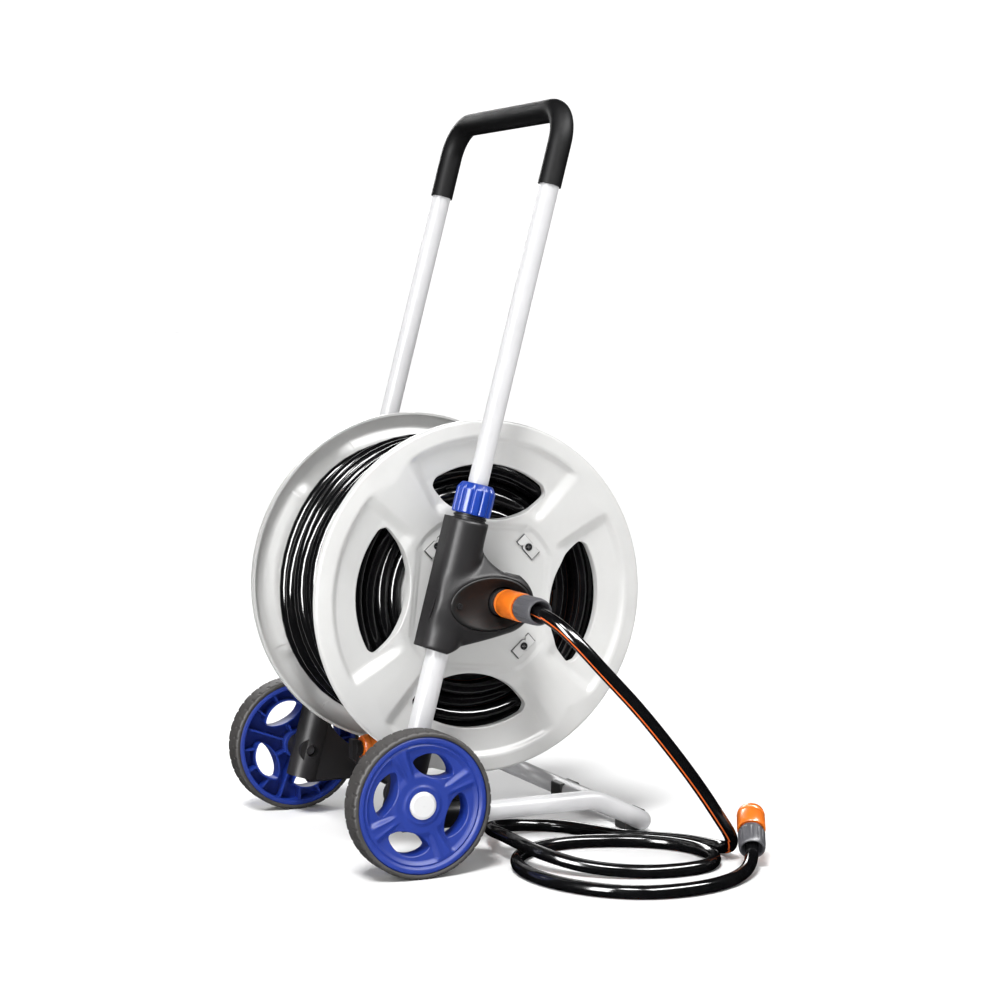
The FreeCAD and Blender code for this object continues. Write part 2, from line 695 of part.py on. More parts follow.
def save_connector(name, mouth, direction, sleeve_end, length):
    save(name + "_connector", connector_core(mouth, direction, length))
    save(name + "_sleeve", release_sleeve(mouth, direction, sleeve_end))
    save(name + "_nut", hose_nut(mouth, direction, sleeve_end, length))


INLET_MOUTH = V(DRUM_X, -INLET_START, DRUM_Z)
INLET_LENGTH = NUT_MOUTH - INLET_START

# route of the free feed hose, from the inlet nut to the tap connector
FEED_ROUTE = [
    (113.9, -233, 284.7), (113.9, -250, 284.7), (117.5, -268, 280), (125, -285, 271),
    (138, -299, 254), (164, -309, 223), (198, -313, 187), (238, -310, 142), (281, -300, 93),
    (316, -285, 52), (335, -276.5, 29.5), (343, -265, 16.5), (345.5, -249, 9), (342, -230, 7.5),
    (329, -203, 8), (304, -176, 8.5), (276, -149, 7.5), (258, -114, 7.5), (240, -80, 7.5),
    (221, -59, 7.5), (196, -49, 8), (170, -52, 10.5), (147, -65, 14), (131, -88, 18), (123, -118, 22),
    (119, -153, 25), (118, -192, 25), (131, -234, 19), (161, -270, 11), (205, -298, 7.5),
    (252, -312, 7.5), (294, -305, 7.5), (319, -273, 7.5), (321, -229, 7.5), (299, -189, 7.5),
    (257, -160, 7.5), (209, -144, 7.5), (162, -150, 7.5), (124, -177, 7.5), (103, -218, 7.5),
    (99, -266, 7.5), (112, -314, 7.5), (140, -356, 7.5), (180, -382, 7.5), (227, -387, 7.5),
    (270, -376, 7.5), (303, -355, 8), (323, -337, 12), (337, -318, 20), (347, -300, 32),
]


def feed_vertices():
    return [V(*point) for point in FEED_ROUTE]


def cord_radii(vertices):
    radii = []
    for index in range(1, len(vertices) - 1):
        before = vertices[index] - vertices[index - 1]
        after = vertices[index + 1] - vertices[index]
        half_turn = before.getAngle(after) / 2
        shorter = min(before.Length, after.Length)
        radii.append(0.45 * shorter / math.tan(half_turn))
    return radii


def feed_hose():
    vertices = feed_vertices()
    radii = cord_radii(vertices)
    print("feed hose radii:", [round(radius) for radius in radii])
    wire = bent_wire(vertices, radii)
    tube = bent_tube(vertices, radii, HOSE_R, 0)
    expected = math.pi * HOSE_R ** 2 * wire.Length
    print("feed hose length %.0f, volume ratio %.4f" % (wire.Length, tube.Volume / expected))
    return tube


def tap_frame():
    """Mouth and direction of the tap connector, whose nut the hose enters last."""
    last = V(*FEED_ROUTE[-1])
    before = V(*FEED_ROUTE[-2])
    along = (last - before).normalize()
    mouth = last + along * (CONNECTOR_LENGTH - HOSE_DEPTH)
    return mouth, along * -1


# ---- parked outlet end ----
def hose_end_holder():
    """Clip round the cross beam with an upright and a nipple for the outlet connector."""
    clip = ring(V(BEAM_X, PARK_Y - 9, BEAM_Z), Y_AXIS, BEAM_R + 4, BEAM_R + 0.05, 18)
    post = plate([(21, 104), (28, 104), (33, 80), (56, 74), (56, 60), (44, 58), (21, 82)], PARK_Y - 6, 12)
    body = union([clip, post]).cut(rod(V(BEAM_X, PARK_Y - 30, BEAM_Z), Y_AXIS, BEAM_R + 0.05, 60))
    nipple = turned(V(26, PARK_Y, PARK_Z), V(1, 0, 0),
                    [(0, 0), (9.5, 0), (9.5, 6), (8.0, 7), (8.0, 12), (6.8, 13.5), (6.8, 15), (8.0, 17),
                     (8.0, 25), (0, 25)])
    relief = rod(V(28.5, PARK_Y, PARK_Z), V(1, 0, 0), 17, 30)
    return union([body.cut(relief), nipple])


def outlet_tail():
    """Short stretch of hose from the parked connector to the underside of the wound hose."""
    start = V(PARK_X + CONNECTOR_LENGTH - HOSE_DEPTH, PARK_Y, PARK_Z)
    points = [start, start + V(24, 0, 0), start + V(46, -2, 7)]
    return bent_tube(points, [30], HOSE_R, 0)


saved = {}
os.makedirs("parts", exist_ok=True)

save_both("lower_tube", lower_tube)
save("foot_tube", foot_tube())
save_both("foot_pad", foot_pad)
save_both("axle_bracket", axle_bracket)
save_both("stub_axle", stub_axle)
save("axle_rings", axle_rings())
save("cross_beam", cross_beam())
save("bracket_screws", bracket_screws())
save_both("hub_bracket", hub_bracket)
save_both("hub_cover", hub_cover)
save_both("bearing_bush", bearing_bush)
save("cover_screws", cover_screws())
save("handle_tube", handle_tube())
save("handle_grip", handle_grip())
save("guide_bushes", guide_bushes())
save_both("clamp_collet", clamp_collet)
save_both("clamp_nut", clamp_nut)
save_both("wheel_rim", wheel_rim)
save_both("tyre", tyre)
save_both("hub_cap", hub_cap)
save_both("flange", flange)
save("drum_core", drum_core())
save("clip_plates", clip_plates())
save("flange_screws", flange_screws())
save("wound_hose", wound_hose())
save("inlet_shaft", inlet_shaft())
save("swivel_elbow", swivel_elbow())
save("inlet_stem", inlet_stem())
save("stem_seal", stem_seal())
save("crank_shaft", crank_shaft())
save("crank_arm", crank_arm())
save("crank_bolt", crank_bolt())
save("knob_pin", knob_pin())
save("crank_knob", crank_knob())

save_connector("inlet", INLET_MOUTH, V(0, -1, 0), INLET_SLEEVE_END, INLET_LENGTH)
save("feed_hose", feed_hose())
TAP_MOUTH, TAP_DIR = tap_frame()
save_connector("tap", TAP_MOUTH, TAP_DIR, SLEEVE_END, CONNECTOR_LENGTH)

save("hose_end_holder", hose_end_holder())
save_connector("outlet", V(PARK_X, PARK_Y, PARK_Z), V(1, 0, 0), SLEEVE_END, CONNECTOR_LENGTH)
save("outlet_tail", outlet_tail())
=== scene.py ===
"""Looks of the garden hose reel cart.

Sizes are millimetres in the part's frame. The camera, the lights and the feed hose's route are in metres.
"""
import math

import bmesh
import bpy
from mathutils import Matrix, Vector, noise
from mathutils.geometry import delaunay_2d_cdt


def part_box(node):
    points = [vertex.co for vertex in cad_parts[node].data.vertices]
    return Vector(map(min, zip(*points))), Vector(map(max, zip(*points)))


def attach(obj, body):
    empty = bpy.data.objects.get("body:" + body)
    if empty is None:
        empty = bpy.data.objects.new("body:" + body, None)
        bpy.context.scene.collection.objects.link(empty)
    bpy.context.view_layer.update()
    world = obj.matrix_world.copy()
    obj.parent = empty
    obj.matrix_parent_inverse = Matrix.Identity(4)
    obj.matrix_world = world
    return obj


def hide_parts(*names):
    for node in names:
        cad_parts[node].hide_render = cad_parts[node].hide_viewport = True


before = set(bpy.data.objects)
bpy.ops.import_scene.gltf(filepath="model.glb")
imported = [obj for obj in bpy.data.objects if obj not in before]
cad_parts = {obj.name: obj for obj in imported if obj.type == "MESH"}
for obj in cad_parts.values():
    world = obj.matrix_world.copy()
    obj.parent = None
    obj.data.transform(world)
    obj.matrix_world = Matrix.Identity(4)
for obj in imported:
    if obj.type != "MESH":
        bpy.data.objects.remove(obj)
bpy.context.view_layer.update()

MM = 0.001
SIDES = (("near", -1), ("far", 1))
ACROSS = Vector((0, 1, 0))


def middle(node):
    low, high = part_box(node)
    return (low + high) / 2 / MM


def half_size(node):
    low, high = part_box(node)
    return (high - low) / 2 / MM


DRUM = middle("flange_near")
DRUM.y = 0
AXLE = middle("tyre_near")
AXLE.y = 0
FLANGE_R = half_size("flange_near").x
WHEEL_R = half_size("tyre_near").x
TILT = math.radians(14.88)
TILT_DIR = Vector((math.sin(TILT), 0, math.cos(TILT)))
TILT_SIDE = Vector((math.cos(TILT), 0, -math.sin(TILT)))
SIDE_Y = middle("lower_tube_far").y
AXLE_TO_TUBE = 1.8
TUBE_BASE = AXLE + Vector((AXLE_TO_TUBE, 0, 0))
HOSE_R = 7.25
CORE_R = half_size("drum_core").x
PACK_R = half_size("wound_hose").x


# ---- materials ----
def surface(name, colour, rough, tone=0.06, patch=14.0, grain=900.0, bump=0.06,
            rough_change=0.05, coat=0.0, metal=0.0, specular=0.5):
    """Procedural finish: slight tone patches, uneven gloss and a fine moulded or sprayed grain."""
    material = bpy.data.materials.new(name)
    material.use_nodes = True
    nodes = material.node_tree.nodes
    link = material.node_tree.links.new
    shader = nodes["Principled BSDF"]
    place = nodes.new("ShaderNodeTexCoord")
    patches = nodes.new("ShaderNodeTexNoise")
    patches.inputs["Scale"].default_value = patch
    patches.inputs["Detail"].default_value = 5
    link(place.outputs["Object"], patches.inputs["Vector"])
    tones = nodes.new("ShaderNodeValToRGB")
    tones.color_ramp.elements[0].position = 0.3
    tones.color_ramp.elements[1].position = 0.7
    tones.color_ramp.elements[0].color = [c * (1 - tone) for c in colour] + [1]
    tones.color_ramp.elements[1].color = [min(1, c * (1 + tone)) for c in colour] + [1]
    link(patches.outputs["Fac"], tones.inputs["Fac"])
    link(tones.outputs["Color"], shader.inputs["Base Color"])
    gloss = nodes.new("ShaderNodeMapRange")
    gloss.inputs["From Min"].default_value = 0.3
    gloss.inputs["From Max"].default_value = 0.7
    gloss.inputs["To Min"].default_value = rough - rough_change
    gloss.inputs["To Max"].default_value = rough + rough_change
    link(patches.outputs["Fac"], gloss.inputs["Value"])
    link(gloss.outputs["Result"], shader.inputs["Roughness"])
    fine = nodes.new("ShaderNodeTexNoise")
    fine.inputs["Scale"].default_value = grain
    fine.inputs["Detail"].default_value = 2
    link(place.outputs["Object"], fine.inputs["Vector"])
    relief = nodes.new("ShaderNodeBump")
    relief.inputs["Strength"].default_value = bump
    relief.inputs["Distance"].default_value = 0.001
    link(fine.outputs["Fac"], relief.inputs["Height"])
    link(relief.outputs["Normal"], shader.inputs["Normal"])
    shader.inputs["Metallic"].default_value = metal
    shader.inputs["Coat Weight"].default_value = coat
    shader.inputs["Specular IOR Level"].default_value = specular
    shader.inputs["Coat Roughness"].default_value = 0.12
    return material


WHITE_TUBE = surface("white_powder_coat", (0.61, 0.61, 0.62), 0.34, 0.02, grain=700, bump=0.05, specular=0.25)
CHARCOAL = surface("charcoal_moulding", (0.020, 0.019, 0.020), 0.40, 0.12, grain=1400, bump=0.12,
                   specular=0.18)
COVER = surface("cover_moulding", (0.010, 0.010, 0.010), 0.42, 0.12, grain=1400, bump=0.12, specular=0.2)
PAD = surface("pad_rubber", (0.018, 0.018, 0.018), 0.6, 0.15, grain=900, bump=0.15)
STEEL = surface("zinc_steel", (0.55, 0.55, 0.56), 0.32, 0.08, grain=1200, bump=0.05, metal=1.0)
SCREW_BLACK = surface("black_screw", (0.006, 0.006, 0.007), 0.4, 0.1, grain=900, bump=0.05)
BEAM = surface("beam_powder_coat", (0.03, 0.03, 0.032), 0.4, 0.1, grain=700, bump=0.07)
BUSH = surface("bush_plastic", (0.05, 0.05, 0.055), 0.45, 0.1)
GRIP = surface("grip_foam", (0.006, 0.006, 0.0065), 0.50, 0.15, patch=30, grain=1100, bump=0.18,
               specular=0.1)
NUT_BLUE = surface("nut_blue", (0.004, 0.042, 0.34), 0.3, 0.06, grain=1500, bump=0.03, specular=0.35)
WHEEL_BLUE = surface("wheel_blue", (0.010, 0.034, 0.27), 0.43, 0.08, grain=1500, bump=0.05,
                     specular=0.25)
TYRE = surface("tyre_rubber", (0.034, 0.030, 0.028), 0.62, 0.16, patch=40, grain=800, bump=0.25)
CAP = surface("cap_white", (0.66, 0.66, 0.66), 0.30, 0.02)
FLANGE = surface("flange_grey", (0.61, 0.61, 0.60), 0.36, 0.03, grain=1300, bump=0.05, specular=0.3)
HOSE = surface("hose_black", (0.004, 0.004, 0.0045), 0.14, 0.2, patch=60, grain=500, bump=0.02,
               rough_change=0.04)
STRIPE = surface("hose_stripe", (0.72, 0.13, 0.02), 0.2, 0.08, patch=60, grain=500, bump=0.02)
FITTING = surface("fitting_black", (0.02, 0.02, 0.021), 0.4, 0.1)
ORANGE = surface("connector_orange", (0.90, 0.19, 0.008), 0.32, 0.05, grain=1300, bump=0.05, coat=0.15)
GREY = surface("connector_grey", (0.085, 0.085, 0.095), 0.42, 0.08, grain=1300, bump=0.08)
FLOOR = surface("studio_floor", (0.975, 0.975, 0.975), 0.6, 0.003, patch=2, grain=40, bump=0.0)

NODE_FINISH = {
    WHITE_TUBE: ["lower_tube_near", "lower_tube_far", "foot_tube", "handle_tube"],
    PAD: ["foot_pad_near", "foot_pad_far", "stem_seal"],
    CHARCOAL: ["axle_bracket_near", "axle_bracket_far", "hose_end_holder", "crank_arm"],
    STEEL: ["stub_axle_near", "stub_axle_far", "axle_rings", "crank_bolt", "knob_pin"],
    SCREW_BLACK: ["cover_screws", "flange_screws", "bracket_screws"],
    BEAM: ["cross_beam"],
    BUSH: ["bearing_bush_near", "bearing_bush_far", "guide_bushes", "clamp_collet_near",
           "clamp_collet_far"],
    GRIP: ["handle_grip"],
    CAP: ["hub_cap_near", "hub_cap_far"],
    FLANGE: ["drum_core"],
    HOSE: ["outlet_tail"],
    FITTING: ["inlet_shaft", "swivel_elbow", "inlet_stem", "crank_shaft", "crank_knob"],
    ORANGE: ["inlet_connector", "tap_connector", "outlet_connector"],
}


def finish_nodes():
    for material, names in NODE_FINISH.items():
        for name in names:
            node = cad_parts[name]
            node.data.materials.clear()
            node.data.materials.append(material)


# ---- mesh helpers ----
class Shape:
    """Points in millimetres and the faces between them, with a material number for each face."""

    def __init__(self):
        self.points = []
        self.faces = []
        self.slots = []

    def grid(self, rows, wrap=False, slot=0, keep=None):
        """Quads between rows of equal length. keep(row, column) may leave some out."""
        start = len(self.points)
        width = len(rows[0])
        for row in rows:
            self.points += [Vector(p) for p in row]
        for i in range(len(rows) - 1):
            for j in range(width if wrap else width - 1):
                if keep and not keep(i, j):
                    continue
                k = (j + 1) % width
                a = start + i * width
                b = a + width
                self.faces.append((a + j, a + k, b + k, b + j))
                self.slots.append(slot(i, j) if callable(slot) else slot)

    def fan(self, row, centre):
        """Triangles from a closed row of points to its centre."""
        start = len(self.points)
        self.points += [Vector(p) for p in row] + [Vector(centre)]
        count = len(row)
        for j in range(count):
            self.faces.append((start + j, start + (j + 1) % count, start + count))
            self.slots.append(0)

    def turned(self, profile, base, axis, segments=64, wave=None):
        """Ring turned from a closed profile of (radius, height) points. wave(angle, radius, height) is
        added to the radius."""
        u = axis.orthogonal().normalized() if abs(axis.y) < 0.9 else Vector((1, 0, 0))
        v = axis.cross(u)
        rows = []
        for radius, height in profile + [profile[0]]:
            row = []
            for j in range(segments):
                angle = 2 * math.pi * j / segments
                r = radius + (wave(angle, radius, height) if wave else 0)
                row.append(base + axis * height + (u * math.cos(angle) + v * math.sin(angle)) * r)
            rows.append(row)
        self.grid(rows, wrap=True)

    def tube(self, path, radius, sides=20, guide=None, stripe=None):
        """Round tube along close points. guide gives each ring's first side a direction to face, and
        stripe the direction that the coloured side faces there."""
        rows = []
        painted = []
        side = (path[1] - path[0]).orthogonal().normalized()
        angles = [2 * math.pi * (j + 0.5) / sides for j in range(sides)]
        for index, point in enumerate(path):
            before = path[max(index - 1, 0)]
            after = path[min(index + 1, len(path) - 1)]
            ahead = (after - before).normalized()
            side = guide(index) if guide else side
            side = (side - ahead * side.dot(ahead)).normalized()
            other = ahead.cross(side)
            normals = [side * math.cos(a) + other * math.sin(a) for a in angles]
            rows.append([point + normal * radius for normal in normals])
            if stripe:
                wanted = stripe(index)
                facing = [(normals[j] + normals[j - sides + 1]).dot(wanted) for j in range(sides)]
                painted.append(facing.index(max(facing)))
        self.grid(rows, wrap=True, slot=(lambda i, j: int(j == painted[i])) if stripe else 0)
        self.fan(rows[0], path[0])
        self.fan(rows[-1], path[-1])

    def block(self, corner, along, across, thick):
        """Solid box from a corner and three edge vectors."""
        start = len(self.points)
        self.points += [corner + along * a + across * b + thick * c
                        for a, b, c in ((0, 0, 0), (1, 0, 0), (1, 1, 0), (0, 1, 0),
                                        (0, 0, 1), (1, 0, 1), (1, 1, 1), (0, 1, 1))]
        for face in ((0, 3, 2, 1), (4, 5, 6, 7), (0, 1, 5, 4), (1, 2, 6, 5), (2, 3, 7, 6), (3, 0, 4, 7)):
            self.faces.append(tuple(start + f for f in face))
            self.slots.append(0)

    def piece(self, name, body, slot, materials, replaces=(), sharp=38):
        """Finished object on its body. Edges steeper than sharp degrees stay crisp."""
        mesh = bpy.data.meshes.new(name)
        mesh.from_pydata([p * MM for p in self.points], [], self.faces)
        for material in materials:
            mesh.materials.append(material)
        mesh.polygons.foreach_set("material_index", self.slots)
        build = bmesh.new()
        build.from_mesh(mesh)
        bmesh.ops.remove_doubles(build, verts=build.verts, dist=2e-6)
        bmesh.ops.dissolve_degenerate(build, edges=build.edges, dist=1e-7)
        bmesh.ops.recalc_face_normals(build, faces=build.faces)
        for face in build.faces:
            face.smooth = True
        for edge in build.edges:
            if len(edge.link_faces) == 2 and edge.calc_face_angle() > math.radians(sharp):
                edge.smooth = False
        build.to_mesh(mesh)
        build.free()
        piece = bpy.data.objects.new(name, mesh)
        bpy.context.scene.collection.objects.link(piece)
        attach(piece, body)
        if replaces:
            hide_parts(*replaces)
        return piece


def ramp(value, low, high):
    """0 below low, 1 above high and straight between."""
    return min(1.0, max(0.0, (value - low) / (high - low)))


def soft(value, low, high):
    """Like ramp, with an eased start and end."""
    t = ramp(value, low, high)
    return t * t * (3 - 2 * t)


# ---- camera, floor and light ----
def camera():
    data = bpy.data.cameras.new("camera")
    data.lens = 82.3
    data.sensor_width = 36
    data.clip_end = 200
    view = bpy.data.objects.new("camera", data)
    bpy.context.scene.collection.objects.link(view)
    view.location = (-1.0642, -2.3966, 0.6012)
    target = Vector((0.06205, 0, 0.3822))
    view.rotation_euler = (target - view.location).to_track_quat("-Z", "Y").to_euler()
    bpy.context.scene.camera = view


def softbox(name, location, target, size, power):
    """Panel that is seen only as a highlight on glossy surfaces."""
    data = bpy.data.lights.new(name, "AREA")
    data.shape = "RECTANGLE"
    data.size, data.size_y = size
    data.energy = power
    lamp = bpy.data.objects.new(name, data)
    bpy.context.scene.collection.objects.link(lamp)
    lamp.location = location
    aim = Vector(target) - Vector(location)
    lamp.rotation_euler = aim.to_track_quat("-Z", "Y").to_euler()
    lamp.visible_diffuse = False


def studio_world():
    """White near the horizon, where it is the backdrop, and dimmer overhead."""
    world = bpy.data.worlds.new("studio")
    bpy.context.scene.world = world
    world.use_nodes = True
    nodes = world.node_tree.nodes
    link = world.node_tree.links.new
    place = nodes.new("ShaderNodeTexCoord")
    parts = nodes.new("ShaderNodeSeparateXYZ")
    link(place.outputs["Generated"], parts.inputs["Vector"])
    height = nodes.new("ShaderNodeMapRange")
    height.interpolation_type = "SMOOTHSTEP"
    height.inputs["From Min"].default_value = 0.16
    height.inputs["From Max"].default_value = 0.45
    height.inputs["To Min"].default_value = 1.08
    height.inputs["To Max"].default_value = 0.38
    link(parts.outputs["Z"], height.inputs["Value"])
    nodes["Background"].inputs["Color"].default_value = (1, 1, 1, 1)
    link(height.outputs["Result"], nodes["Background"].inputs["Strength"])
    world.cycles_visibility.glossy = False


def studio():
    mesh = bpy.data.meshes.new("floor")
    build = bmesh.new()
    bmesh.ops.create_grid(build, x_segments=8, y_segments=8, size=60)
    build.to_mesh(mesh)
    build.free()
    mesh.materials.append(FLOOR)
    floor = bpy.data.objects.new("floor", mesh)
    bpy.context.scene.collection.objects.link(floor)
    floor.visible_glossy = False
    studio_world()
    bpy.context.scene.view_settings.view_transform = "Standard"
    data = bpy.data.lights.new("sky_panel", "SUN")
    data.energy = 3.1
    data.angle = math.radians(16)
    lamp = bpy.data.objects.new("sky_panel", data)
    bpy.context.scene.collection.objects.link(lamp)
    lamp.rotation_euler = Vector((0.42, 0.50, -1.0)).to_track_quat("-Z", "Y").to_euler()
    softbox("left_panel", (-1.9, -1.1, 0.8), (0, 0, 0.3), (0.8, 2.0), 190)
    softbox("top_panel", (0.8, -1.5, 2.1), (0, 0, 0.3), (2.6, 0.7), 230)
    softbox("back_panel", (0.6, 2.4, 1.4), (0, 0, 0.3), (1.8, 0.6), 45)


# ---- free feed hose ----
# Control points in metres, the same as the CAD hose's.
FEED_ROUTE = [
    (-0.00995, -0.233, 0.2847), (-0.00995, -0.25, 0.2847), (-0.00635, -0.268, 0.28),
    (0.00115, -0.285, 0.271), (0.01415, -0.299, 0.254), (0.04015, -0.309, 0.223),
    (0.07415, -0.313, 0.187), (0.11415, -0.31, 0.142), (0.15715, -0.3, 0.093), (0.19215, -0.285, 0.052),
    (0.21115, -0.2765, 0.0295), (0.21915, -0.265, 0.0165), (0.22165, -0.249, 0.009),
    (0.21815, -0.23, 0.0075), (0.20515, -0.203, 0.008), (0.18015, -0.176, 0.0085),
    (0.15215, -0.149, 0.0075), (0.13415, -0.114, 0.0075), (0.11615, -0.08, 0.0075),
    (0.09715, -0.059, 0.0075), (0.07215, -0.049, 0.008), (0.04615, -0.052, 0.0105),
    (0.02315, -0.065, 0.014), (0.00715, -0.088, 0.018), (-0.00085, -0.118, 0.022),
    (-0.00485, -0.153, 0.025), (-0.00585, -0.192, 0.025), (0.00715, -0.234, 0.019),
    (0.03715, -0.27, 0.011), (0.08115, -0.298, 0.0075), (0.12815, -0.312, 0.0075),
    (0.17015, -0.305, 0.0075), (0.19515, -0.273, 0.0075), (0.19715, -0.229, 0.0075),
    (0.17515, -0.189, 0.0075), (0.13315, -0.16, 0.0075), (0.08515, -0.144, 0.0075),
    (0.03815, -0.15, 0.0075), (0.00015, -0.177, 0.0075), (-0.02085, -0.218, 0.0075),
    (-0.02485, -0.266, 0.0075), (-0.01185, -0.314, 0.0075), (0.01615, -0.356, 0.0075),
    (0.05615, -0.382, 0.0075), (0.10315, -0.387, 0.0075), (0.14615, -0.376, 0.0075),
    (0.17915, -0.355, 0.008), (0.19915, -0.337, 0.012), (0.21315, -0.318, 0.02), (0.22315, -0.3, 0.032),
]
INLET_MOUTH = Vector((DRUM.x, -165, DRUM.z))
INLET_LENGTH = 88
INLET_SLEEVE = 46
HOSE_END_LENGTH = 60
HOSE_END_SLEEVE = 30
TAP_NUT_DEPTH = 20


def feed_path():
    """Points read from the route's NURBS spline."""
    data = bpy.data.curves.new("feed_route", "CURVE")
    data.dimensions = "3D"
    data.resolution_u = 12
    spline = data.splines.new("NURBS")
    spline.points.add(len(FEED_ROUTE) - 1)
    for control, place in zip(spline.points, FEED_ROUTE):
        control.co = (*place, 1)
    spline.order_u = 3
    spline.use_endpoint_u = True
    route = bpy.data.objects.new("feed_route", data)
    bpy.context.scene.collection.objects.link(route)
    mesh = bpy.data.meshes.new_from_object(route)
    points = [v.co.copy() for v in mesh.vertices]
    bpy.data.objects.remove(route)
    bpy.data.meshes.remove(mesh)
    return points


def feed_hose():
    """The stripe shows on the lower left of the falling run and turns under on the floor."""
    path = feed_path()
    falling = Vector((-0.69, -0.58, -0.30))
    under = Vector((0.0, 0.0, -1.0))
    shape = Shape()
    shape.tube([p / MM for p in path], HOSE_R, 26,
               stripe=lambda i: falling.lerp(under, soft(i / len(path), 0.19, 0.26)))
    hose = shape.piece("feed_hose_line", "frame", "hose_black", [HOSE, STRIPE], ["feed_hose"])


# ---- quick connectors ----
RELEASE_ROOM = 4.3  # gap behind a sleeve, a little over its 4 mm of travel


def connector(name, mouth, axis, sleeve_end, length, sleeve_body):
    """Release sleeve and hose nut of a quick connector. sleeve_end and length are from its mouth."""
    sleeve = Shape()
    sleeve.turned([(12.4, 1.2), (13.4, 0.6), (14.3, 2.0), (14.9, 4.2), (15.5, 6.5), (14.8, 8.0), (14.8, 9.2),
                   (15.4, 10.4), (15.6, sleeve_end - 6), (15.6, sleeve_end - 1.5), (14.9, sleeve_end),
                   (13.4, sleeve_end), (13.4, 15.4), (12.4, 15.4)], mouth, axis, 96)
    pieces = [sleeve.piece(name + "_sleeve_shell", sleeve_body, "connector_orange", [ORANGE],
                           [name + "_sleeve"])]
    nut = Shape()
    start = sleeve_end + RELEASE_ROOM

    def flutes(angle, radius, height):
        inside = start + 2.5 < height < length - 6
        return -0.7 * max(0.0, math.cos(14 * angle)) ** 4 if inside and radius > 14 else 0.0

    nut.turned([(12.25, start - 3.4), (12.9, start - 3.4), (12.9, start), (14.4, start + 0.5),
                (14.9, start + 1.4), (14.9, start + 2.4), (14.9, start + 2.9), (14.9, length - 11),
                (14.9, length - 8), (14.6, length - 4.5), (14.2, length - 1.6), (13.4, length - 0.3),
                (12.3, length), (11.3, length - 1.2), (9.8, length - 12), (7.4, length - 20),
                (7.4, length - 25.9), (12.25, length - 25.9)],
               mouth, axis, 112, wave=flutes)
    pieces.append(nut.piece(name + "_nut_shell", "frame", "connector_grey", [GREY], [name + "_nut"]))
    return pieces


# ---- discs with four lens windows ----
class Lens:
    """Window edge: radii at its middle, and the radius and half length at its tips."""

    def __init__(self, near, far, tip, half):
        self.near = self.circle(near, tip, half)
        self.far = self.circle(far, tip, half)
        self.tip_angle = math.atan2(half, tip)
        self.end = self.tip_angle * 0.955
        self.round_from = self.tip_angle * 0.84

    @staticmethod
    def circle(edge, tip, half):
        centre = (tip * tip + half * half - edge * edge) / (2 * (tip - edge))
        return centre, abs(edge - centre)

    def reach(self, angle):
        """Nearest and furthest radius of the opening at an angle from its middle."""
        a = min(abs(angle), self.end)
        low = self.cross(self.near, a, -1 if self.near[0] > self.far[0] else 1)
        high = self.cross(self.far, a, 1)
        half = (high - low) / 2
        centre = (high + low) / 2
        if a > self.round_from:
            t = (a - self.round_from) / (self.end - self.round_from)
            half *= math.sqrt(max(0.0, 1 - t * t))
        return centre - half, centre + half

    @staticmethod
    def cross(circle, angle, sign):
        centre, radius = circle
        inside = radius ** 2 - (centre * math.sin(angle)) ** 2
        return centre * math.cos(angle) + sign * math.sqrt(max(0.0, inside))

    def angles(self, window_steps, arm_steps):
        """Column angles across one quarter, close together at the tips."""
        inside = [self.end * math.sin(math.pi / 2 * (2 * i / window_steps - 1))
                  for i in range(window_steps + 1)]
        rest = math.pi / 4 - self.end
        arm = [self.end + rest * (i + 1) / arm_steps for i in range(arm_steps)]
        return [-a for a in reversed(arm)] + inside + arm


